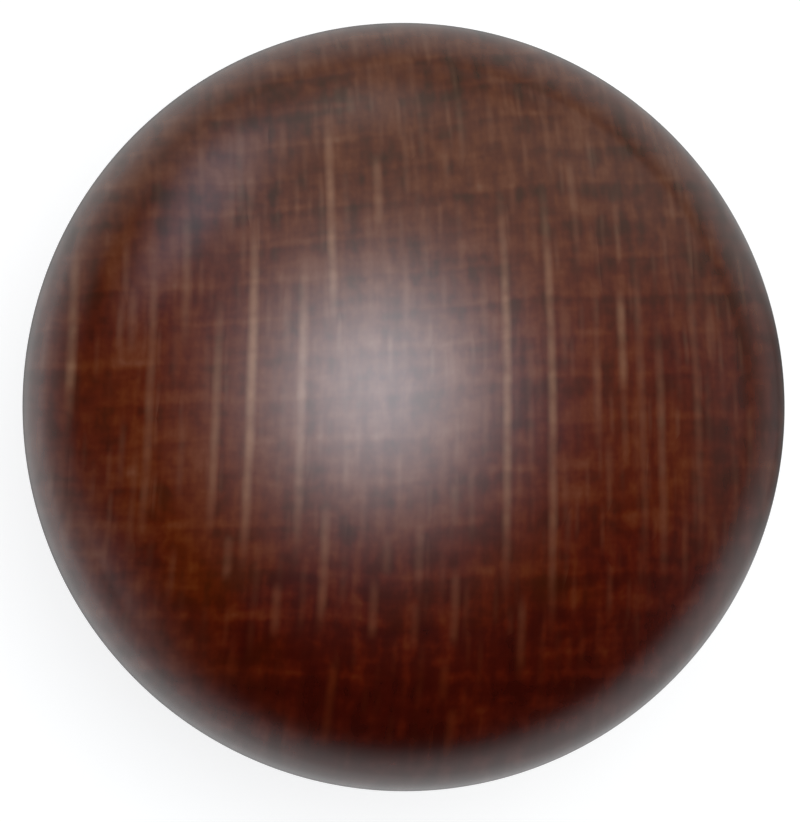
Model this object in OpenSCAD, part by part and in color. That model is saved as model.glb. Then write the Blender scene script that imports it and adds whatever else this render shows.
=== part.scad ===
// Turned wooden knob with a brass screw insert pressed into its back.
// The body is one revolved outline: a domed face that rolls over a shoulder into a round
// rim, a sloping underside, a coved neck and a flat foot. The insert is a barbed sleeve in a drilled blind hole.
// Frame: the foot's flat face lies at z = 0, the knob's axis is Z, the dome faces +Z.

/* [Head] */
// Diameter of the head across its rim
head_d = 35; // [31:0.5:60]
// Height of the whole knob, from the foot's face to the top of the dome
knob_h = 27; // [26:0.5:45]
// Rise of the dome above the middle of the rim
crown_h = 8.5; // [7.5:0.5:10.5]
// Radius of the shoulder between the dome and the rim, in section
shoulder_r = 11.5; // [6:0.5:12.5]
// Radius of the round rim, in section
rim_r = 4; // [3:0.1:5]
// Width of the rim's round seen from the front, between the shoulder and the edge
rim_w = 0.8; // [0.4:0.1:1.2]
// Slope of the head's underside, falling towards the neck, in degrees
under_slope = 10; // [4:1:20]

/* [Neck] */
// Diameter of the neck at its thinnest
neck_d = 14; // [11:0.5:16]
// Radius of the cove between the neck and the head
head_cove_r = 6; // [4:0.1:7]
// Radius of the cove between the neck and the foot
foot_cove_r = 5; // [4:0.1:6]

/* [Foot] */
// Diameter of the foot
foot_d = 19; // [16:0.5:22]
// Height of the foot's edge, up to the line where its cove begins
foot_h = 2; // [1.5:0.1:2.8]
// Radius that softens the top edge of the foot
foot_round = 0.6; // [0.3:0.1:0.8]
// Chamfer round the foot's back face
foot_chamfer = 0.4; // [0.2:0.1:0.6]

/* [Screw insert] */
// Nominal diameter of the screw thread that the insert takes
thread_d = 4; // [3:0.5:4]
// Pitch of that thread
thread_pitch = 0.7; // [0.5:0.05:0.8]
// Length of the insert
insert_l = 9; // [7:0.5:12]
// Depth of the insert's end below the foot's face
insert_recess = 0.4; // [0.2:0.1:1]
// Countersink at both ends of the thread
thread_lead = 0.4; // [0.2:0.1:0.5]
// Number of barbs along the insert
barb_count = 4; // [2:1:6]
// Height of each barb above the sleeve
barb_h = 0.4; // [0.2:0.05:0.6]
// Plain tapered length that leads the insert into the wood
insert_nose = 1.2; // [0.8:0.1:2]
// Narrowing of the nose, measured on the radius
nose_taper = 0.3; // [0.1:0.05:0.5]
// Number of flutes that cut the barbs into teeth
flute_count = 12; // [6:1:16]
// Width of each flute
flute_w = 0.7; // [0.4:0.05:0.9]

/* [Hole in the wood] */
// Diameter of the drilled hole, which is also that of the insert's sleeve
hole_d = 6; // [5.5:0.1:7]
// Free depth of the full-width hole behind the insert, for the end of a long screw
hole_spare = 3; // [1:0.5:4]
// Point angle of the drill that made the hole, in degrees
drill_point = 118; // [90:1:140]

/* [Hidden] */
$fn = 128;

// Middle of the rim's round
rim_x = head_d / 2 - rim_r;
rim_z = knob_h - crown_h;
// Slope of the face where the shoulder runs into the rim's round
shoulder_slope = asin(1 - rim_w / rim_r);
// Middle of the shoulder's arc, which touches the rim's round there from outside
shoulder_x = rim_x - (shoulder_r - rim_r) * sin(shoulder_slope);
shoulder_z = rim_z - (shoulder_r - rim_r) * cos(shoulder_slope);
// The dome is the circle about the axis that touches the shoulder's arc and peaks at knob_h
dome_step = knob_h - shoulder_z - shoulder_r;
dome_r = shoulder_r + (pow(shoulder_x, 2) + pow(dome_step, 2)) / (2 * dome_step);
dome_z = knob_h - dome_r;
// Slope of the face where the dome runs into the shoulder
dome_slope = atan(shoulder_x / (shoulder_z - dome_z));

// Middle of the cove under the head: its round and the rim's both touch the sloping underside
head_cove_x = neck_d / 2 + head_cove_r;
head_cove_z = rim_z
    - (rim_r + head_cove_r + (rim_x - head_cove_x) * sin(under_slope)) / cos(under_slope);
// Direction square to the underside, pointing into the head
under_normal = [-sin(under_slope), cos(under_slope)];

// Middle of the cove above the foot: it crosses the foot's edge at foot_h
foot_cove_x = neck_d / 2 + foot_cove_r;
foot_cove_z = foot_h + sqrt(pow(foot_cove_r, 2) - pow(foot_cove_x - foot_d / 2, 2));
// Middle of the small round that joins that cove to the foot's edge
foot_round_x = foot_d / 2 - foot_round;
foot_round_z = foot_cove_z
    - sqrt(pow(foot_cove_r + foot_round, 2) - pow(foot_cove_x - foot_round_x, 2));

// Insert
thread_hole_r = (thread_d - thread_pitch) / 2;
sleeve_r = hole_d / 2;
barb_r = sleeve_r + barb_h;
insert_top = insert_recess + insert_l;
barb_pitch = (insert_l - insert_nose) / barb_count;

// Hole in the wood
hole_top = insert_top + hole_spare;
hole_tip = hole_top + sleeve_r / tan(drill_point / 2);

// Length by which a cutting shape reaches past what it cuts
overrun = 1;

// Half section under one arc of the face: all of its circle that lies above the rim's middle
// and inside the line on which the face has reached a given slope
module face_section(centre, r, slope) {
    top_z = knob_h + overrun;
    function line_x(z) = centre.x + (z - centre.y) * tan(slope);
    intersection() {
        translate(centre) circle(r = r);
        polygon([[0, rim_z], [line_x(rim_z), rim_z], [line_x(top_z), top_z], [0, top_z]]);
    }
}

// Half section below the rim's middle, still without its coves
module stem_section() {
    rim = [rim_x, rim_z];
    head_cove = [head_cove_x, head_cove_z];
    polygon([
        [0, 0],
        [foot_d / 2 - foot_chamfer, 0],
        [foot_d / 2, foot_chamfer],
        [foot_d / 2, foot_round_z],
        [foot_round_x, foot_round_z],
        [foot_cove_x, foot_cove_z],
        head_cove,
        head_cove + head_cove_r * under_normal,
        rim - rim_r * under_normal,
        rim,
        [0, rim_z]
    ]);
}

// Hollow of the neck: two coves and the straight stretch between them
module neck_hollow() {
    translate([foot_cove_x, foot_cove_z]) circle(r = foot_cove_r);
    translate([head_cove_x, head_cove_z]) circle(r = head_cove_r);
    translate([neck_d / 2, foot_cove_z])
        square([foot_cove_r + head_cove_r, head_cove_z - foot_cove_z]);
}

// Whole half section of the turned body, before it is drilled
module turned_section() {
    face_section([0, dome_z], dome_r, dome_slope);
    face_section([shoulder_x, shoulder_z], shoulder_r, shoulder_slope);
    translate([rim_x, rim_z]) circle(r = rim_r);
    translate([foot_round_x, foot_round_z]) circle(r = foot_round);
    difference() {
        stem_section();
        neck_hollow();
    }
}

// Outer half section of the insert: each barb has its square shoulder towards the mouth
// and slopes down to the sleeve towards the nose
module insert_section() {
    polygon([
        [0, insert_recess],
        for (i = [0 : barb_count - 1])
            each [
                [barb_r, insert_recess + i * barb_pitch],
                [sleeve_r, insert_recess + (i + 1) * barb_pitch]
            ],
        [sleeve_r - nose_taper, insert_top],
        [0, insert_top]
    ]);
}

// Half section of the drilled hole, with the cone that the drill's point leaves
module hole_section() {
    polygon([[0, -overrun], [sleeve_r, -overrun], [sleeve_r, hole_top], [0, hole_tip]]);
}

// Half section of the thread's hole, countersunk at both ends
module thread_section() {
    wide_r = thread_hole_r + thread_lead;
    polygon([
        [0, insert_recess - overrun],
        [wide_r, insert_recess - overrun],
        [wide_r, insert_recess],
        [thread_hole_r, insert_recess + thread_lead],
        [thread_hole_r, insert_top - thread_lead],
        [wide_r, insert_top],
        [wide_r, insert_top + overrun],
        [0, insert_top + overrun]
    ]);
}

// Turned wooden body, with the drilled hole and the wood closed round the barbs
module knob_body() {
    color("#4B1F12")
    rotate_extrude()
    difference() {
        turned_section();
        hole_section();
        insert_section();
    }
}

// Brass insert: a barbed sleeve with a tapped hole, its barbs cut into teeth by flutes
module threaded_insert() {
    color("#C9A24B")
    difference() {
        rotate_extrude()
        difference() {
            insert_section();
            thread_section();
        }
        for (i = [0 : flute_count - 1])
            rotate(i * 360 / flute_count)
            translate([sleeve_r + flute_w / 2, 0, insert_recess - overrun])
            cylinder(d = flute_w, h = insert_l + 2 * overrun, $fn = 24);
    }
}

knob_body();
threaded_insert();
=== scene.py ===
from math import exp, pi, radians, tan

import bpy
import numpy as np
from mathutils import Matrix, Vector


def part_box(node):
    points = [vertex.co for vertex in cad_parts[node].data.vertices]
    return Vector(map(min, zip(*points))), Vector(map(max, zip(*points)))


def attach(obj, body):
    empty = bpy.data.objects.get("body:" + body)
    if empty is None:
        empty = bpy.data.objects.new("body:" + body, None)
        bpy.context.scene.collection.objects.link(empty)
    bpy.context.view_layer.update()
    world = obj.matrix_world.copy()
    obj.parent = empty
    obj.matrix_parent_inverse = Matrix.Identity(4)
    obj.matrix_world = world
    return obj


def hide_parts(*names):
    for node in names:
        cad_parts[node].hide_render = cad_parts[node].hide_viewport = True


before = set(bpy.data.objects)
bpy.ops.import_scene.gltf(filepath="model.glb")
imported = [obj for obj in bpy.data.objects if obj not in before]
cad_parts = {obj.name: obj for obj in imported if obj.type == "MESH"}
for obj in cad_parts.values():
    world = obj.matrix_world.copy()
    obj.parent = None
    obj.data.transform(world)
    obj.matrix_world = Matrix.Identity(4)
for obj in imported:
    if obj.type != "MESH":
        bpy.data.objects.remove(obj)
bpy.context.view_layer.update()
print("frame loaded")

mm = 0.001


def linearColour(hexCode):
    # sRGB hex to linear: straight below the knee, a 2.4 power curve above it
    value = np.array([int(hexCode[i:i + 2], 16) for i in (1, 3, 5)]) / 255
    linear = np.where(value <= 0.04045, value / 12.92, ((value + 0.055) / 1.055) ** 2.4)
    return (*linear.tolist(), 1.0)


def addNode(tree, kind, inputs=None, **settings):
    # adds a node, sets its options, then links or fills the inputs named or numbered in the dictionary
    node = tree.nodes.new(kind)
    for name, value in settings.items():
        setattr(node, name, value)
    for socket, value in (inputs or {}).items():
        if isinstance(value, bpy.types.NodeSocket):
            tree.links.new(value, node.inputs[socket])
        else:
            node.inputs[socket].default_value = value
    return node


def setRamp(node, stops):
    # fills a colour ramp from (position, hex) pairs
    ramp = node.color_ramp
    while len(ramp.elements) < len(stops):
        ramp.elements.new(0.5)
    for element, (position, hexCode) in zip(ramp.elements, stops):
        element.position = position
        element.color = linearColour(hexCode)
    return node


def direction(azimuth, elevation):
    # unit vector at an azimuth from +X and an elevation above the floor, in degrees
    a, e = np.radians(azimuth), np.radians(elevation)
    return Vector((np.cos(a) * np.cos(e), np.sin(a) * np.cos(e), np.sin(e)))


beech = {
    "shade": [                # tone of the stain, from closed grain to open grain
        (0.00, "#300800"),
        (0.25, "#430E01"),
        (0.45, "#5B1803"),
        (0.65, "#6C2C0D"),
        (0.82, "#783C20"),
        (1.00, "#855036"),
    ],
    "rayShade": "#976B4E",    # a broad ray, where it hides the ground altogether
    "lowRayShade": "#6C2C13",     # the same towards the bark
    "rayCover": 0.54,         # share of the ground that a ray of strength 1 hides
    "tintShades": [           # patches where the stain dried more red or more orange
        (0.6, "#4B120D"),
        (0.9, "#5C2600"),
    ],
    "tintNoise": {"Scale": 0.16, "Detail": 2.0, "Distortion": 0.4},
    "tintLift": 0.3,          # the patches turn redder towards the bark
    "brownShade": "#413416",  # towards the pith
    "tintShare": 0.35,
    "wander": [               # the tree did not grow straight: noise, then its reach in mm
        ({"Scale": 0.08, "Detail": 1.0}, (0.4, 1.6, 0.0)),
        ({"Scale": 0.55, "Detail": 2.0}, (0.09, 0.3, 0.0)),
    ],
    "pithDistance": 260,      # mm from the knob's axis to the middle of the tree, along +Y
    "ringRate": 0.528,        # rings to a millimetre through the middle of the knob
    "ringDrift": 0.0052,      # growth slows away from the pith, so the rings close up
    "ringStart": -0.4,
    "ringLean": -0.04,        # slope of the rings across the knob, and how it changes along Y
    "ringBend": -0.005,
    "ringEdge": 0.18,         # share of a year's growth, to each side, that the pale line takes
    "lateWood": (0.45, 0.82),     # share of the year's growth where the late wood begins and is full
    "lateEnd": 0.86,
    "ringBreaks": {"Scale": 0.3, "Detail": 1.0},
    "ringBreakRange": {1: 0.42, 2: 0.64, 3: 0.1, 4: 1.0},     # noise from, to; strength from, to
    "rayHalfWidth": 0.33,     # mm
    "rayHeights": (18.0, 20.5),   # mm: the broad rays fade in between these heights
    "rayTaper": (0.5, 1.1),   # share of its half length where a ray starts to fade and ends
    "thinRays": [             # one to a cell of this size in mm, its half width in mm, its strength
        ((0.9, 4.5, 3.2), 0.26, 0.34),
        ((0.6, 2.6, 2.0), 0.19, 0.26),
    ],
    "thinTaper": (0.15, 0.5),     # share of a cell where a thin ray starts to fade and ends
    "rayWaver": {"Scale": 0.9, "Detail": 2.5},
    "rayWaverRange": {1: 0.33, 2: 0.66, 3: 0.62, 4: 1.22},    # noise from, to; strength from, to
    "rayAtRing": 0.4,         # rays gain this where they cross a ring
    "grain": {                # steps to a mm along x, y and z, octaves, weight in the tone
        "streak": ((1.45, 0.2, 0.10), 2.0, 0.74),    # fibres 0.4 mm apart, drawn out along the rays
        "band": ((0.25, 1.3, 0.06), 2.0, 0.60),      # bands along each year's growth
        "pores": ((1.6, 1.2, 0.25), 2.0, 0.80),      # dots on the end grain, dashes down the sides
        "cloud": ((0.35, 0.35, 0.35), 3.0, 0.34),    # where the stain soaked in unevenly
    },
    "overGrain": {            # weight in the tone, mean value
        "ringLine": (0.13, 0.1),
        "lateWood": (-0.08, 0.3),
        "paler": (0.27, 0.83),
        # painted light on the left, below the middle
        "paintedLeftLight": (0.05, 0.0),
        # painted shade on both sides of the rim
        "rimPaintedShade": (-0.13, 0.0),
    },
    "meanTone": 0.44,
    "slowChange": {           # axis, then where it is 0 and where it is 1, in mm
        "paler": ("y", -12.6, -4.2),      # darker towards -Y, the side towards the bark
        "rayPale": ("y", -12.0, 0.0),
        "brown": ("y", 0.0, 12.0),
        "paintedLeftLight": ("x", -3.0, -14.0),   # painted light: paler on the left, below the middle
        "below": ("y", 9.0, 3.0),
    },
    "rimPaintedShade": (-1.2, 12.6, 15.4),       # painted shade, darker on both sides of the rim: middle, start, end in mm
    "ior": 1.5,               # of resin, in the wood and in the lacquer
    "specular": 0.25,         # half the usual: lacquer takes most of the wood's own shine
    "roughness": 0.20,
    "roughnessRange": (0.3, 0.7),         # growth band from, to
    "roughnessSpread": 0.03,
    "lacquerRoughness": 0.15,
    "openGrainGloss": 0.70,   # share of the lacquer's shine left over open grain
    "glossRange": (0.2, 1.1),     # tone where the grain is open, and where it is closed
    "rayGloss": 0.6,
    "grainDepth": 0.02,       # mm that open grain sinks below the lacquer
    "grainRelief": 0.1,       # share of it that the lacquer lets show
}

# broad medullary rays that cross the dome: x where the ray meets y = 0, then both ends in y
# and its strength, in mm
broadRays = [
    (-15.8, -0.5, 7.0, 0.9),
    (-13.3, 2.2, 5.5, 0.4),
    (-12.4, -6.5, 7.2, 0.5),
    (-11.0, 2.6, 9.0, 0.45),
    (-9.5, -5.8, 5.0, 0.8),
    (-8.65, -8.0, -5.8, 0.75),
    (-8.6, 8.2, 13.5, 0.35),
    (-8.0, -7.6, 8.6, 1.3),
    (-6.5, -10.6, -8.0, 0.9),
    (-5.8, -7.4, 7.0, 0.8),
    (-4.6, -10.3, -4.2, 1.15),
    (-4.5, 3.5, 13.2, 1.0),
    (-3.9, -15.2, -11.2, 0.8),
    (-3.4, 13.0, 14.4, 0.3),
    (-2.4, -10.3, -7.4, 0.9),
    (-2.35, 7.9, 11.4, 0.7),
    (-1.9, -7.4, -5.6, 0.5),
    (-0.6, -10.8, -8.4, 0.5),
    (-0.5, -7.8, -5.0, 0.7),
    (0.8, -13.2, -11.2, 0.6),
    (1.0, -5.4, -3.4, 0.5),
    (1.1, -10.8, -7.0, 0.9),
    (1.3, -15.9, -13.3, 0.8),
    (3.35, -8.6, 9.5, 1.05),
    (4.1, -12.4, -8.2, 0.8),
    (5.45, -10.3, 9.8, 0.9),
    (6.9, 8.4, 10.9, 0.5),
    (7.6, -2.3, 2.4, 0.4),
    (8.85, 0.2, 5.2, 0.9),
    (9.7, -8.5, 7.5, 0.35),
    (10.6, -8.2, 3.7, 0.55),
    (12.4, -6.5, 6.8, 0.35),
]


def fadeAway(tree, local, full, gone, strength):
    # how far a point lies inside a box about the origin: along each axis the strength up to the
    # distance full, then a smooth fall to 0 at the distance gone
    away = addNode(tree, "ShaderNodeVectorMath", {0: local}, operation="ABSOLUTE").outputs[0]
    fade = addNode(tree, "ShaderNodeMapRange", {"Vector": away, 7: full, 8: gone, 9: strength,
                                                10: (0.0, 0.0, 0.0)},
                   data_type="FLOAT_VECTOR", interpolation_type="SMOOTHSTEP")
    return addNode(tree, "ShaderNodeSeparateXYZ", {0: fade.outputs[1]}).outputs


def stainedBeech():
    # Steamed beech turned across its end grain, wiped with a dark brown stain and sprayed with a satin
    # acrylic lacquer: rays show as thin tan lines, each year's growth as a faint line across them,
    # and the lacquer lays a soft, slightly hazy gloss over both.
    material = bpy.data.materials.new("stained_beech_satin_lacquer")
    material.use_nodes = True
    tree = material.node_tree
    tree.nodes.clear()
    place = addNode(tree, "ShaderNodeTexCoord").outputs["Object"]
    point = addNode(tree, "ShaderNodeVectorMath", {0: place, "Scale": 1 / mm}, operation="SCALE").outputs[0]

    # wander: the point moves by reach * (noise - 0.5)
    grown = point
    for noise, reach in beech["wander"]:
        shift = addNode(tree, "ShaderNodeTexNoise", {"Vector": point, **noise}).outputs["Color"]
        shift = addNode(tree, "ShaderNodeVectorMath", {0: shift, 1: (0.5, 0.5, 0.5)},
                        operation="SUBTRACT").outputs[0]
        grown = addNode(tree, "ShaderNodeVectorMath", {0: shift, 1: reach, 2: grown},
                        operation="MULTIPLY_ADD").outputs[0]
    x, y, z = addNode(tree, "ShaderNodeSeparateXYZ", {0: grown}).outputs
    slow = {}
    for name, (axis, start, end) in beech["slowChange"].items():
        along = {"x": x, "y": y}[axis]
        slow[name] = addNode(tree, "ShaderNodeMapRange", {0: along, 1: start, 2: end}).outputs[0]

    # rays point at the pith, so they close up towards it
    fan = addNode(tree, "ShaderNodeMath", {0: y, 1: 1 / beech["pithDistance"], 2: 1.0},
                  operation="MULTIPLY_ADD").outputs[0]
    fanX = addNode(tree, "ShaderNodeMath", {0: x, 1: fan}, operation="MULTIPLY").outputs[0]
    rayPoint = addNode(tree, "ShaderNodeCombineXYZ", {0: fanX, 1: y, 2: z}).outputs[0]

    # rings: q = y + x * (bend * y + lean) runs along the growth,
    # and the ring number = drift * q^2 + rate * q + start
    lean = addNode(tree, "ShaderNodeMath", {0: y, 1: beech["ringBend"], 2: beech["ringLean"]},
                   operation="MULTIPLY_ADD").outputs[0]
    q = addNode(tree, "ShaderNodeMath", {0: lean, 1: x, 2: y}, operation="MULTIPLY_ADD").outputs[0]
    rate = addNode(tree, "ShaderNodeMath", {0: q, 1: beech["ringDrift"], 2: beech["ringRate"]},
                   operation="MULTIPLY_ADD").outputs[0]
    ring = addNode(tree, "ShaderNodeMath", {0: rate, 1: q, 2: beech["ringStart"]},
                   operation="MULTIPLY_ADD").outputs[0]
    phase = addNode(tree, "ShaderNodeMath", {0: ring}, operation="FRACT").outputs[0]
    edge = addNode(tree, "ShaderNodeMath", {0: phase, 1: 0.5}, operation="SUBTRACT").outputs[0]
    edge = addNode(tree, "ShaderNodeMath", {0: edge}, operation="ABSOLUTE").outputs[0]
    ringLine = addNode(tree, "ShaderNodeMapRange", {0: edge, 1: 0.5 - beech["ringEdge"], 2: 0.5},
                       interpolation_type="SMOOTHSTEP").outputs[0]
    begins, isFull = beech["lateWood"]
    darken = addNode(tree, "ShaderNodeMapRange", {0: phase, 1: begins, 2: isFull},
                     interpolation_type="SMOOTHSTEP").outputs[0]
    lighten = addNode(tree, "ShaderNodeMapRange", {0: phase, 1: beech["lateEnd"], 2: 1.0},
                      interpolation_type="SMOOTHSTEP").outputs[0]
    lateWood = addNode(tree, "ShaderNodeMath", {0: darken, 1: lighten}, operation="SUBTRACT").outputs[0]
    broken = addNode(tree, "ShaderNodeTexNoise", {"Vector": point, **beech["ringBreaks"]}).outputs[0]
    broken = addNode(tree, "ShaderNodeMapRange", {0: broken, **beech["ringBreakRange"]}).outputs[0]
    ringLine = addNode(tree, "ShaderNodeMath", {0: ringLine, 1: broken}, operation="MULTIPLY").outputs[0]

    # broad rays on the dome: full along the middle of each, fading over its half width and at its ends
    low, high = beech["rayHeights"]
    onDome = addNode(tree, "ShaderNodeMapRange", {0: z, 1: low, 2: high},
                     interpolation_type="SMOOTHSTEP").outputs[0]
    broad = 0.0
    for rayX, rayLow, rayHigh, strength in broadRays:
        halfLength = (rayHigh - rayLow) / 2
        scale = (1 / beech["rayHalfWidth"], 1 / halfLength, 0.0)
        centre = (-rayX * scale[0], -(rayHigh + rayLow) / 2 * scale[1], 0.0)
        local = addNode(tree, "ShaderNodeVectorMath", {0: rayPoint, 1: scale, 2: centre},
                        operation="MULTIPLY_ADD").outputs[0]
        fades, ends = beech["rayTaper"]
        across, along = fadeAway(tree, local, (0.0, fades, 0.0), (1.0, ends, 1.0),
                                 (strength, 1.0, 0.0))[:2]
        broad = addNode(tree, "ShaderNodeMath", {0: across, 1: along, 2: broad},
                        operation="MULTIPLY_ADD").outputs[0]
    broad = addNode(tree, "ShaderNodeMath", {0: broad, 1: onDome}, operation="MULTIPLY").outputs[0]

    # thinner rays, one to a cell of thin upright sheets, each of its own chance strength
    thin = 0.0
    for cell, halfWidth, strength in beech["thinRays"]:
        spread = addNode(tree, "ShaderNodeVectorMath", {0: rayPoint, 1: cell}, operation="DIVIDE").outputs[0]
        cells = addNode(tree, "ShaderNodeTexVoronoi", {"Vector": spread, "Scale": 1.0})
        local = addNode(tree, "ShaderNodeVectorMath", {0: spread, 1: cells.outputs["Position"]},
                        operation="SUBTRACT").outputs[0]
        fades, ends = beech["thinTaper"]
        across, along, deep = fadeAway(tree, local, (0.0, fades, fades), (halfWidth / cell[0], ends, ends),
                                       (strength, 1.0, 1.0))
        ends = addNode(tree, "ShaderNodeMath", {0: along, 1: deep}, operation="MULTIPLY").outputs[0]
        chance = addNode(tree, "ShaderNodeSeparateColor", {0: cells.outputs["Color"]}).outputs[0]
        ends = addNode(tree, "ShaderNodeMath", {0: ends, 1: chance}, operation="MULTIPLY").outputs[0]
        thin = addNode(tree, "ShaderNodeMath", {0: across, 1: ends, 2: thin},
                       operation="MULTIPLY_ADD").outputs[0]

    # rays waver along their length, and pale where they cross a ring
    waver = addNode(tree, "ShaderNodeTexNoise", {"Vector": point, **beech["rayWaver"]}).outputs[0]
    waver = addNode(tree, "ShaderNodeMapRange", {0: waver, **beech["rayWaverRange"]}).outputs[0]
    waver = addNode(tree, "ShaderNodeMath", {0: ringLine, 1: beech["rayAtRing"], 2: waver},
                    operation="MULTIPLY_ADD").outputs[0]
    rays = addNode(tree, "ShaderNodeMath", {0: broad, 1: thin}, operation="MAXIMUM").outputs[0]
    rays = addNode(tree, "ShaderNodeMath", {0: rays, 1: waver}, operation="MULTIPLY").outputs[0]

    # tone = mean + sum of weight * (part - its mean), from noises stretched along rays and rings
    ringPoint = addNode(tree, "ShaderNodeCombineXYZ", {0: x, 1: q, 2: z}).outputs[0]
    # painted light: the tone is lifted on the left, below the middle
    paintedLeftLight = addNode(tree, "ShaderNodeMath", {0: slow["paintedLeftLight"], 1: slow["below"]},
                       operation="MULTIPLY").outputs[0]
    # painted shade: the tone is darkened on both sides of the rim
    middle, start, end = beech["rimPaintedShade"]
    aside = addNode(tree, "ShaderNodeMath", {0: x, 1: middle}, operation="SUBTRACT").outputs[0]
    aside = addNode(tree, "ShaderNodeMath", {0: aside}, operation="ABSOLUTE").outputs[0]
    rimPaintedShade = addNode(tree, "ShaderNodeMapRange", {0: aside, 1: start, 2: end},
                       interpolation_type="SMOOTHSTEP").outputs[0]
    source = {"streak": rayPoint, "band": ringPoint, "pores": grown, "cloud": grown}
    parts = {"ringLine": ringLine, "lateWood": lateWood, "paler": slow["paler"], "paintedLeftLight": paintedLeftLight,
             "rimPaintedShade": rimPaintedShade}
    weights = dict(beech["overGrain"])
    for name, (scale, octaves, weight) in beech["grain"].items():
        spread = addNode(tree, "ShaderNodeVectorMath", {0: source[name], 1: scale},
                         operation="MULTIPLY").outputs[0]
        parts[name] = addNode(tree, "ShaderNodeTexNoise", {"Vector": spread, "Scale": 1.0,
                                                           "Detail": octaves}).outputs[0]
        weights[name] = (weight, 0.5)
    tone = beech["meanTone"] - sum(weight * mean for weight, mean in weights.values())
    for name, (weight, mean) in weights.items():
        tone = addNode(tree, "ShaderNodeMath", {0: parts[name], 1: weight, 2: tone},
                       operation="MULTIPLY_ADD").outputs[0]
    colour = setRamp(addNode(tree, "ShaderNodeValToRGB", {0: tone}), beech["shade"]).outputs[0]

    # patches of red and orange, brown towards the pith, and the rays over it all
    hue = addNode(tree, "ShaderNodeTexNoise", {"Vector": grown, **beech["tintNoise"]}).outputs[0]
    hue = addNode(tree, "ShaderNodeMath", {0: slow["paler"], 1: beech["tintLift"], 2: hue},
                  operation="MULTIPLY_ADD").outputs[0]
    tint = setRamp(addNode(tree, "ShaderNodeValToRGB", {0: hue}), beech["tintShades"]).outputs[0]
    browner = addNode(tree, "ShaderNodeMapRange", {0: slow["brown"]},
                      interpolation_type="SMOOTHSTEP").outputs[0]
    cover = addNode(tree, "ShaderNodeMath", {0: rays, 1: beech["rayCover"]}, operation="MULTIPLY").outputs[0]
    rayShade = addNode(tree, "ShaderNodeMix", {
        0: slow["rayPale"],
        6: linearColour(beech["lowRayShade"]),
        7: linearColour(beech["rayShade"]),
    }, data_type="RGBA").outputs[2]
    brown = linearColour(beech["brownShade"])
    tint = addNode(tree, "ShaderNodeMix", {0: browner, 6: tint, 7: brown}, data_type="RGBA").outputs[2]
    for share, over in ((beech["tintShare"], tint), (cover, rayShade)):
        colour = addNode(tree, "ShaderNodeMix", {0: share, 6: colour, 7: over}, data_type="RGBA").outputs[2]

    # open grain sinks a few microns below the lacquer
    height = addNode(tree, "ShaderNodeMath", {0: parts["pores"], 1: parts["streak"]},
                     operation="ADD").outputs[0]
    bump = addNode(tree, "ShaderNodeBump", {"Height": height, "Strength": beech["grainRelief"],
                                            "Distance": beech["grainDepth"] * mm}).outputs[0]
    # the lacquer stands full over rays and closed grain, and shines less where it sinks over open grain
    closed = addNode(tree, "ShaderNodeMath", {0: rays, 1: beech["rayGloss"], 2: tone},
                     operation="MULTIPLY_ADD").outputs[0]
    gloss = addNode(tree, "ShaderNodeMapRange", {
        0: closed,
        1: beech["glossRange"][0],
        2: beech["glossRange"][1],
        3: beech["openGrainGloss"],
        4: 1.0,
    }).outputs[0]
    rough = addNode(tree, "ShaderNodeMapRange", {
        0: parts["band"],
        1: beech["roughnessRange"][0],
        2: beech["roughnessRange"][1],
        3: beech["roughness"] - beech["roughnessSpread"],
        4: beech["roughness"] + beech["roughnessSpread"],
    }).outputs[0]
    shader = addNode(tree, "ShaderNodeBsdfPrincipled", {
        "Base Color": colour,
        "Roughness": rough,
        "Normal": bump,
        "IOR": beech["ior"],
        "Specular IOR Level": beech["specular"],
        "Coat Weight": gloss,
        "Coat Roughness": beech["lacquerRoughness"],
        "Coat IOR": beech["ior"],
    })
    addNode(tree, "ShaderNodeOutputMaterial", {"Surface": shader.outputs[0]})
    return material


brass = {
    "colour": "#D9AE5A",
    "tarnish": "#A87C36",
    "markSpacing": 0.12,      # mm between turning marks
    "markDepth": 0.01,        # mm
    "markRelief": 0.4,        # share of it that the tool left
    "tarnishNoise": {"Scale": 0.7, "Detail": 4.0},
    "tarnishRange": {1: 0.45, 2: 0.75, 4: 0.7},    # noise from, to; most tarnish
    "roughness": 0.26,
    "tarnishRoughness": 0.2,  # more where it is tarnished
}


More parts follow.
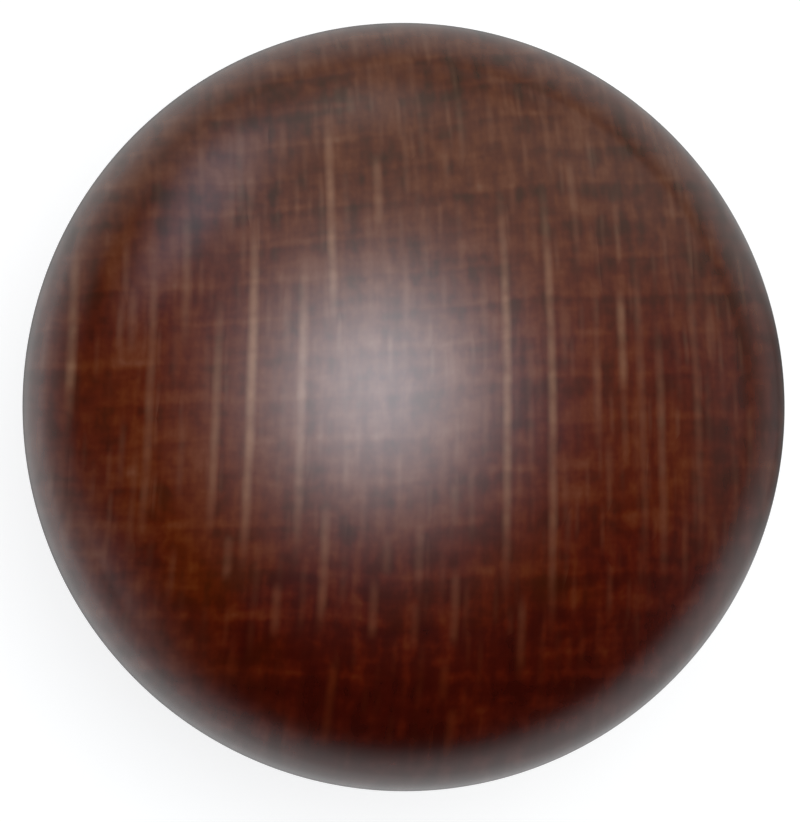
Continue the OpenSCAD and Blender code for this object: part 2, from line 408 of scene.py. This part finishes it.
def turnedBrass():
    # Free-cutting brass turned on an automatic lathe: warm yellow, with fine rings left by the tool
    # and a little brown tarnish.
    material = bpy.data.materials.new("turned_brass")
    material.use_nodes = True
    tree = material.node_tree
    tree.nodes.clear()
    place = addNode(tree, "ShaderNodeTexCoord").outputs["Object"]
    point = addNode(tree, "ShaderNodeVectorMath", {0: place, "Scale": 1 / mm}, operation="SCALE").outputs[0]
    x, y, z = addNode(tree, "ShaderNodeSeparateXYZ", {0: point}).outputs
    flat = addNode(tree, "ShaderNodeCombineXYZ", {0: x, 1: y}).outputs[0]
    radius = addNode(tree, "ShaderNodeVectorMath", {0: flat}, operation="LENGTH").outputs["Value"]
    along = addNode(tree, "ShaderNodeMath", {0: radius, 1: z}, operation="ADD").outputs[0]
    mark = addNode(tree, "ShaderNodeMath", {0: along, 1: 1 / brass["markSpacing"]},
                   operation="MULTIPLY").outputs[0]
    marks = addNode(tree, "ShaderNodeTexNoise", {"W": mark, "Scale": 1.0, "Detail": 2.0},
                    noise_dimensions="1D").outputs[0]
    stain = addNode(tree, "ShaderNodeTexNoise", {"Vector": point, **brass["tarnishNoise"]}).outputs[0]
    stain = addNode(tree, "ShaderNodeMapRange", {0: stain, **brass["tarnishRange"]}).outputs[0]
    colour = addNode(tree, "ShaderNodeMix", {
        0: stain,
        6: linearColour(brass["colour"]),
        7: linearColour(brass["tarnish"]),
    }, data_type="RGBA").outputs[2]
    rough = addNode(tree, "ShaderNodeMath", {0: stain, 1: brass["tarnishRoughness"],
                                             2: brass["roughness"]},
                    operation="MULTIPLY_ADD").outputs[0]
    bump = addNode(tree, "ShaderNodeBump", {"Height": marks, "Strength": brass["markRelief"],
                                            "Distance": brass["markDepth"] * mm}).outputs[0]
    shader = addNode(tree, "ShaderNodeBsdfPrincipled", {
        "Base Color": colour,
        "Metallic": 1.0,
        "Roughness": rough,
        "Normal": bump,
    })
    addNode(tree, "ShaderNodeOutputMaterial", {"Surface": shader.outputs[0]})
    return material


def makePiece(name, points, faces, material, sharpAngle):
    # mesh from an array of points in mm and lists of faces, smooth but for edges past the angle
    mesh = bpy.data.meshes.new(name)
    mesh.from_pydata((points * mm).tolist(), [], faces)
    mesh.materials.append(material)
    mesh.shade_smooth()
    mesh.set_sharp_from_angle(angle=radians(sharpAngle))
    piece = bpy.data.objects.new(name, mesh)
    bpy.context.collection.objects.link(piece)
    return piece


def arc(centre, radius, start, end, count):
    # points on a circle in the (r, z) plane, at even angles from start to end, in degrees
    angle = np.radians(np.linspace(start, end, count))
    return np.stack([centre[0] + radius * np.cos(angle), centre[1] + radius * np.sin(angle)], axis=1)


def revolve(profile, columns):
    # turns (r, z) points about Z: x = r cos a, y = r sin a; both ends lie on the axis and close in a fan
    inner = profile[1:-1]
    angle = np.linspace(0, 2 * pi, columns, endpoint=False)
    ring = np.stack([np.cos(angle), np.sin(angle)], axis=1)
    x, y = (inner[:, 0, None, None] * ring[None]).transpose(2, 0, 1)
    z = np.broadcast_to(inner[:, 1, None], x.shape)
    points = np.concatenate([np.stack([x, y, z], axis=2).reshape(-1, 3),
                             [[0, 0, profile[0, 1]], [0, 0, profile[-1, 1]]]])
    index = np.arange(len(inner) * columns).reshape(len(inner), columns)
    after = np.roll(index, -1, axis=1)
    quads = np.stack([index[:-1], index[1:], after[1:], after[:-1]], axis=2).reshape(-1, 4)
    first = np.full(columns, index.size)
    firstFan = np.stack([first, index[0], after[0]], axis=1)
    lastFan = np.stack([first + 1, after[-1], index[-1]], axis=1)
    return points, quads.tolist() + firstFan.tolist() + lastFan.tolist()


body = {                      # mm and degrees
    "headDiameter": 35,
    "height": 27,
    "crownHeight": 8.5,
    "shoulderRadius": 11.5,
    "rimRadius": 4,
    "rimWidth": 0.8,          # of the rim's round, seen from the front
    "underSlope": 10,
    "neckDiameter": 14,
    "headCove": 6,
    "footCove": 5,
    "footDiameter": 19,
    "footHeight": 2,
    "footRound": 0.6,
    "footChamfer": 0.4,
    "holeDiameter": 6,
    "holeTop": 12.4,
    "drillPoint": 118,
    "columns": 360,
}

insert = {                    # mm
    "recess": 0.4,
    "length": 9,
    "barbs": 4,
    "barbHeight": 0.4,
    "nose": 1.2,
    "noseTaper": 0.3,
    "flutes": 12,
    "fluteWidth": 0.7,
    "threadDiameter": 4,
    "pitch": 0.7,
    "grooveMouth": 0.75,      # share of the pitch that the groove is wide, at the crest
    "grooveFlank": 0.62,      # share of the pitch that its two flanks take
    "lead": 0.4,              # of the countersinks
    "rowsPerTurn": 12,
    "columns": 288,
}


def barbOutline():
    # each barb has a square shoulder towards the mouth and slopes back to the sleeve
    sleeve = body["holeDiameter"] / 2
    step = (insert["length"] - insert["nose"]) / insert["barbs"]
    shoulder = insert["recess"] + step * np.arange(insert["barbs"])
    outer = np.stack([np.full(insert["barbs"], sleeve + insert["barbHeight"]), shoulder], axis=1)
    inner = np.stack([np.full(insert["barbs"], sleeve), shoulder + step], axis=1)
    return np.stack([outer, inner], axis=1).reshape(-1, 2)


def bodyProfile():
    # from the top of the dome over the shoulder and the rim, in along the underside, down the coved
    # neck, over the foot and up the drilled hole; each arc starts where the one before it touches it
    rim = np.array([body["headDiameter"] / 2 - body["rimRadius"], body["height"] - body["crownHeight"]])
    rimSlope = np.arcsin(1 - body["rimWidth"] / body["rimRadius"])
    towards = np.array([np.sin(rimSlope), np.cos(rimSlope)])
    shoulder = rim - (body["shoulderRadius"] - body["rimRadius"]) * towards
    rise = body["height"] - shoulder[1] - body["shoulderRadius"]
    domeRadius = body["shoulderRadius"] + (shoulder[0] ** 2 + rise ** 2) / (2 * rise)
    dome = np.array([0, body["height"] - domeRadius])
    shoulderTop = np.degrees(np.arctan2(shoulder[1] - dome[1], shoulder[0]))
    rimTop = 90 - np.degrees(rimSlope)
    slope = radians(body["underSlope"])
    neck = body["neckDiameter"] / 2
    headCoveX = neck + body["headCove"]
    reach = body["rimRadius"] + body["headCove"] + (rim[0] - headCoveX) * np.sin(slope)
    headCove = np.array([headCoveX, rim[1] - reach / np.cos(slope)])
    footEdge = body["footDiameter"] / 2
    footCoveX = neck + body["footCove"]
    footCove = np.array([footCoveX, body["footHeight"]
                         + np.sqrt(body["footCove"] ** 2 - (footCoveX - footEdge) ** 2)])
    roundX = footEdge - body["footRound"]
    reach = body["footCove"] + body["footRound"]
    footRound = np.array([roundX, footCove[1] - np.sqrt(reach ** 2 - (footCoveX - roundX) ** 2)])
    lean = np.degrees(np.arctan2(*(footCove - footRound)[::-1]))
    hole = body["holeDiameter"] / 2
    tip = body["holeTop"] + hole / tan(radians(body["drillPoint"] / 2))
    return np.concatenate([
        arc(dome, domeRadius, 90, shoulderTop, 36)[:-1],
        arc(shoulder, body["shoulderRadius"], shoulderTop, rimTop, 32)[:-1],
        arc(rim, body["rimRadius"], rimTop, body["underSlope"] - 90, 48),
        arc(headCove, body["headCove"], 90 + body["underSlope"], 180, 28),
        arc(footCove, body["footCove"], 180, 180 + lean, 22)[:-1],
        arc(footRound, body["footRound"], lean, 0, 8),
        [[footEdge, body["footChamfer"]], [footEdge - body["footChamfer"], 0]],
        [[hole, 0], [hole, insert["recess"]]],
        barbOutline(),
        [[hole, body["holeTop"]], [0, tip]],
    ])


beechMaterial = stainedBeech()
points, faces = revolve(bodyProfile(), body["columns"])
knobPiece = makePiece("turned_beech_body", points, faces, beechMaterial, 25)
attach(knobPiece, "root")
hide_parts("knob_body")
print("body turned:", len(points), "points")


def insertSurface():
    # closed section carried round Z: outside it is the barbed outline or the flutes, whichever is
    # nearer the axis; inside it is the minor radius plus the groove's depth, whose phase is
    # z / pitch - angle / one turn, so the groove runs as a right-hand helix
    angle = np.linspace(0, 2 * pi, insert["columns"], endpoint=False)
    sleeve = body["holeDiameter"] / 2
    top = insert["recess"] + insert["length"]
    outline = np.concatenate([barbOutline(), [[sleeve - insert["noseTaper"], top]]])
    fluteRadius = insert["fluteWidth"] / 2
    turn = 2 * pi / insert["flutes"]
    off = (angle + turn / 2) % turn - turn / 2
    side = (sleeve + fluteRadius) * np.sin(off)
    bite = np.sqrt(np.clip(fluteRadius ** 2 - side ** 2, 0, None))
    inFlute = np.abs(side) < fluteRadius
    flute = np.where(inFlute, (sleeve + fluteRadius) * np.cos(off) - bite, 2 * sleeve)
    outerR = np.minimum(outline[:, 0, None], flute[None])
    outerZ = np.broadcast_to(outline[:, 1, None], outerR.shape)

    minor = (insert["threadDiameter"] - insert["pitch"]) / 2
    major = insert["threadDiameter"] / 2
    rows = int(insert["length"] / insert["pitch"] * insert["rowsPerTurn"])
    z = np.linspace(top, insert["recess"], rows)
    phase = (z[:, None] / insert["pitch"] - angle[None] / (2 * pi)) % 1
    flank = np.abs(phase - 0.5) * 2          # 0 in the middle of the groove, 1 on the crest
    groove = np.clip((insert["grooveMouth"] - flank) / insert["grooveFlank"], 0, 1)
    mouth = np.minimum(top - z, z - insert["recess"])
    countersink = minor + insert["lead"] - mouth
    boreR = np.maximum(minor + (major - minor) * groove, countersink[:, None])
    boreZ = np.broadcast_to(z[:, None], boreR.shape)

    r = np.concatenate([outerR, boreR])
    points = np.stack([r * np.cos(angle), r * np.sin(angle), np.concatenate([outerZ, boreZ])], axis=2)
    index = np.arange(r.size).reshape(r.shape)
    nextRow = np.roll(index, -1, axis=0)
    quads = np.stack([index, np.roll(index, -1, axis=1), np.roll(nextRow, -1, axis=1), nextRow], axis=2)
    return points.reshape(-1, 3), quads.reshape(-1, 4).tolist()


points, faces = insertSurface()
insertPiece = makePiece("barbed_brass_insert", points, faces, turnedBrass(), 30)
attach(insertPiece, "root")
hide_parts("threaded_insert")
print("insert made:", len(points), "points")


studio = {
    "floorSide": 20,          # m, wide enough that its edge can't be seen from the side
    "floorDrop": 0.02,        # mm below the foot, so that the two faces stay apart
    "floorColour": "#B0B0AE",
    "floorGlow": 0.74,        # lifts the pale floor to white in the picture, the shadow stays
    "poolShine": 0.67,        # painted pool of light on the floor as the knob mirrors it: brightest at this distance, in mm, with painted shade under the knob, dimmer far off
    "poolDistance": 52,       # dimmer under the knob and far off
    "poolSpread": 0.90,
    "poolFade": (8.0, 31.0),  # mm from the axis where the pool starts and is full, out of the painted shadow beside the foot
    "poolSide": (222, 0.29),  # azimuth of the painted pool's brightest side, and how much brighter that is
    # painted light far off, fading in from beside the knob and brighter to one side
    "farShine": 0.24,
    "farFade": (20.0, 70.0),
    "farSide": (185, 0.50),
    "wallLight": 0.27,        # its mean; then its brightest side, and how much brighter that is
    "wallSide": (138, 0.25),
    "wallFade": (0.17, -0.08),    # sine of the height where it ends, and where it is full
    "viewAzimuth": 187.2,     # degrees: the camera stands over the knob, a little to its left
    "viewTilt": 8.4,
    "cameraDistance": 0.35,   # m
    "focalLength": 336.5,     # mm
    "sensor": 36,             # mm
    "aim": (-0.26, -0.19),    # mm right and up from the middle of the rim
}

flagCard = {
    "x": 25,                  # mm
    "halfWidth": 13,
    "height": 22,
    "colour": "#0A0A0A",
    "low": 0.72,              # how dense it is at the foot and at the top
    "high": 0.5,
    "thinsAt": (0.66, 0.77),  # shares of its height between which it goes from one to the other
    "full": 0.25,             # share of its half width that is full, before it thins to the ends
}

# soft lights: azimuth, elevation, spread in degrees, colour, strength
softLights = [
    (102, 85.4, 13, "#F5F9FF", 6.85),    # overhead softbox
    (50, 32, 22, "#FFFFFF", 0.52),       # wall behind the knob, lit unevenly
    (100, 34, 16, "#FFFFFF", 0.40),
    (92, 22, 9, "#FFFFFF", 0.65),
    (108, 9, 11, "#FFFFFF", 0.11),
    (40, 10, 14, "#FFFFFF", 0.21),
    (131, 37, 9, "#DCE8FF", 1.12),       # window
    (123, 20, 9, "#DCE8FF", 1.20),
    (146, 30, 8, "#DCE8FF", 0.60),
    (0, 13, 13, "#FFFFFF", 0.23),        # small lamp to the right
    (335, 13, 13, "#FFFFFF", 0.04),
    (213, 0, 11, "#FFFFFF", 0.44),       # pale things far to the left
    (182, 28, 18, "#FFFFFF", 0.07),
]


def addWorld():
    # sum of round soft lights, each strength * exp((cos(angle off its middle) - 1) / spread^2),
    # and a low pale wall all round that fades out above the horizon and is brightest to the left
    world = bpy.data.worlds.new("soft_studio")
    bpy.context.scene.world = world
    world.use_nodes = True
    tree = world.node_tree
    tree.nodes.clear()
    ray = addNode(tree, "ShaderNodeTexCoord").outputs["Generated"]
    height = addNode(tree, "ShaderNodeSeparateXYZ", {0: ray}).outputs[2]

    # light of the wall = mean + swing * cosine of the angle from its brightest side
    azimuth, swing = studio["wallSide"]
    leftward = addNode(tree, "ShaderNodeVectorMath", {0: ray, 1: direction(azimuth, 0)},
                       operation="DOT_PRODUCT").outputs["Value"]
    wallLight = addNode(tree, "ShaderNodeMath", {0: leftward, 1: swing, 2: studio["wallLight"]},
                        operation="MULTIPLY_ADD").outputs[0]
    top, foot = studio["wallFade"]
    wall = addNode(tree, "ShaderNodeMapRange", {0: height, 1: top, 2: foot, 4: wallLight},
                   interpolation_type="SMOOTHSTEP").outputs[0]
    light = addNode(tree, "ShaderNodeCombineXYZ", {0: wall, 1: wall, 2: wall}).outputs[0]

    for azimuth, elevation, spread, hexCode, strength in softLights:
        width = radians(spread) ** 2
        facing = addNode(tree, "ShaderNodeVectorMath", {0: ray, 1: direction(azimuth, elevation)},
                         operation="DOT_PRODUCT").outputs["Value"]
        falling = addNode(tree, "ShaderNodeMath", {0: facing, 1: 1 / width, 2: -1 / width},
                          operation="MULTIPLY_ADD").outputs[0]
        glow = addNode(tree, "ShaderNodeMath", {0: falling}, operation="EXPONENT").outputs[0]
        colour = [channel * strength for channel in linearColour(hexCode)[:3]]
        light = addNode(tree, "ShaderNodeVectorMath", {0: glow, 1: colour, 2: light},
                        operation="MULTIPLY_ADD").outputs[0]
    # white where the camera sees past the floor
    seen = addNode(tree, "ShaderNodeLightPath").outputs["Is Camera Ray"]
    light = addNode(tree, "ShaderNodeMix", {0: seen, 6: light, 7: linearColour("#FFFFFF")},
                    data_type="RGBA").outputs[2]
    background = addNode(tree, "ShaderNodeBackground", {"Color": light})
    addNode(tree, "ShaderNodeOutputWorld", {"Surface": background.outputs[0]})


def addFloor():
    # square sheet just under the foot; matt pale paper, lifted to white for the camera. What mirrors it
    # sees painted light: pool + far, each times 1 + more * cosine of the angle from its brightest side,
    # where pool = shine * exp(-(ln(distance / pool distance) / spread)^2 / 2), fading in out of a painted
    # shadow beside the foot
    half = studio["floorSide"] / 2
    z = -studio["floorDrop"] * mm
    mesh = bpy.data.meshes.new("floor")
    corners = [(-half, -half, z), (half, -half, z), (half, half, z), (-half, half, z)]
    mesh.from_pydata(corners, [], [(0, 1, 2, 3)])
    floor = bpy.data.objects.new("floor", mesh)
    bpy.context.collection.objects.link(floor)
    material = bpy.data.materials.new("matt_paper")
    material.use_nodes = True
    tree = material.node_tree
    tree.nodes.clear()
    place = addNode(tree, "ShaderNodeTexCoord").outputs["Object"]
    away = addNode(tree, "ShaderNodeVectorMath", {0: place, "Scale": 1 / mm}, operation="SCALE").outputs[0]
    distance = addNode(tree, "ShaderNodeVectorMath", {0: away}, operation="LENGTH").outputs["Value"]
    ratio = addNode(tree, "ShaderNodeMath", {0: distance, 1: studio["poolDistance"]},
                    operation="DIVIDE").outputs[0]
    steps = addNode(tree, "ShaderNodeMath", {0: ratio, 1: exp(studio["poolSpread"])},
                    operation="LOGARITHM").outputs[0]
    square = addNode(tree, "ShaderNodeMath", {0: steps, 1: steps}, operation="MULTIPLY").outputs[0]
    square = addNode(tree, "ShaderNodeMath", {0: square, 1: -0.5}, operation="MULTIPLY").outputs[0]
    pool = addNode(tree, "ShaderNodeMath", {0: square}, operation="EXPONENT").outputs[0]
    # painted shadow: the pool fades out beside the foot
    near, full = studio["poolFade"]
    beside = addNode(tree, "ShaderNodeMapRange", {0: distance, 1: near, 2: full},
                     interpolation_type="SMOOTHSTEP").outputs[0]
    pool = addNode(tree, "ShaderNodeMath", {0: pool, 1: beside}, operation="MULTIPLY").outputs[0]
    near, full = studio["farFade"]
    far = addNode(tree, "ShaderNodeMapRange", {0: distance, 1: near, 2: full, 4: studio["farShine"]},
                  interpolation_type="SMOOTHSTEP").outputs[0]
    away = addNode(tree, "ShaderNodeVectorMath", {0: away}, operation="NORMALIZE").outputs[0]
    # painted light: each is brighter towards one side
    sided = []
    for light, (azimuth, more) in ((pool, studio["poolSide"]), (far, studio["farSide"])):
        side = addNode(tree, "ShaderNodeVectorMath", {0: away, 1: direction(azimuth, 0)},
                       operation="DOT_PRODUCT").outputs["Value"]
        side = addNode(tree, "ShaderNodeMath", {0: side, 1: more, 2: 1.0},
                       operation="MULTIPLY_ADD").outputs[0]
        sided.append(addNode(tree, "ShaderNodeMath", {0: light, 1: side}, operation="MULTIPLY").outputs[0])
    pool = addNode(tree, "ShaderNodeMath", {0: sided[0], 1: studio["poolShine"], 2: sided[1]},
                   operation="MULTIPLY_ADD").outputs[0]

    path = addNode(tree, "ShaderNodeLightPath").outputs
    mirrored = addNode(tree, "ShaderNodeMath", {0: path["Is Glossy Ray"], 1: path["Is Transmission Ray"]},
                       operation="MAXIMUM").outputs[0]
    glow = addNode(tree, "ShaderNodeMath", {0: path["Is Camera Ray"], 1: studio["floorGlow"]},
                   operation="MULTIPLY").outputs[0]
    paper = addNode(tree, "ShaderNodeBsdfDiffuse", {"Color": linearColour(studio["floorColour"])})
    lift = addNode(tree, "ShaderNodeEmission", {"Strength": glow})
    seen = addNode(tree, "ShaderNodeAddShader", {0: paper.outputs[0], 1: lift.outputs[0]})
    shine = addNode(tree, "ShaderNodeEmission", {"Strength": pool})
    both = addNode(tree, "ShaderNodeMixShader", {0: mirrored, 1: seen.outputs[0], 2: shine.outputs[0]})
    addNode(tree, "ShaderNodeOutputMaterial", {"Surface": both.outputs[0]})
    mesh.materials.append(material)


def addFlag():
    # black card standing to the right, close by and seen in reflections only: it takes
    # the shine off that side of the rim; it thins out upwards and towards both ends
    x, half, height = (flagCard[key] * mm for key in ("x", "halfWidth", "height"))
    mesh = bpy.data.meshes.new("black_flag")
    corners = [(x, -half, 0), (x, half, 0), (x, half, height), (x, -half, height)]
    mesh.from_pydata(corners, [], [(0, 1, 2, 3)])
    flag = bpy.data.objects.new("black_flag", mesh)
    bpy.context.collection.objects.link(flag)
    material = bpy.data.materials.new("black_card")
    material.use_nodes = True
    tree = material.node_tree
    tree.nodes.clear()
    place = addNode(tree, "ShaderNodeTexCoord").outputs["Object"]
    side, up = addNode(tree, "ShaderNodeSeparateXYZ", {0: place}).outputs[1:]
    side = addNode(tree, "ShaderNodeMath", {0: side}, operation="ABSOLUTE").outputs[0]
    low, high = flagCard["thinsAt"]
    density = addNode(tree, "ShaderNodeMapRange", {0: up, 1: low * height, 2: high * height,
                                                   3: flagCard["low"], 4: flagCard["high"]},
                      interpolation_type="SMOOTHSTEP").outputs[0]
    density = addNode(tree, "ShaderNodeMapRange", {0: side, 1: flagCard["full"] * half, 2: half,
                                                   3: density, 4: 0.0},
                      interpolation_type="SMOOTHSTEP").outputs[0]
    clear = addNode(tree, "ShaderNodeBsdfTransparent").outputs[0]
    card = addNode(tree, "ShaderNodeBsdfDiffuse", {"Color": linearColour(flagCard["colour"])}).outputs[0]
    both = addNode(tree, "ShaderNodeMixShader", {0: density, 1: clear, 2: card})
    addNode(tree, "ShaderNodeOutputMaterial", {"Surface": both.outputs[0]})
    mesh.materials.append(material)
    flag.visible_camera = flag.visible_diffuse = flag.visible_shadow = flag.visible_transmission = False


def addCamera():
    # stands off the knob's axis by the tilt, towards the azimuth, with +Y up in the picture
    data = bpy.data.cameras.new("camera")
    camera = bpy.data.objects.new("camera", data)
    bpy.context.collection.objects.link(camera)
    data.lens = studio["focalLength"]
    data.sensor_width = studio["sensor"]
    data.clip_start = 0.01
    data.clip_end = 2 * studio["floorSide"]
    back = direction(studio["viewAzimuth"], 90 - studio["viewTilt"])
    right = Vector((0, 1, 0)).cross(back).normalized()
    up = back.cross(right)
    low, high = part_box("knob_body")
    target = Vector(((low.x + high.x) / 2, (low.y + high.y) / 2, high.z - body["crownHeight"] * mm))
    target += (right * studio["aim"][0] + up * studio["aim"][1]) * mm
    camera.matrix_world = Matrix.Translation(target + back * studio["cameraDistance"]) @ Matrix(
        (right, up, back)).transposed().to_4x4()
    bpy.context.scene.camera = camera


addWorld()
addFloor()
addFlag()
addCamera()
bpy.context.scene.view_settings.view_transform = "Standard"
print("stage set")
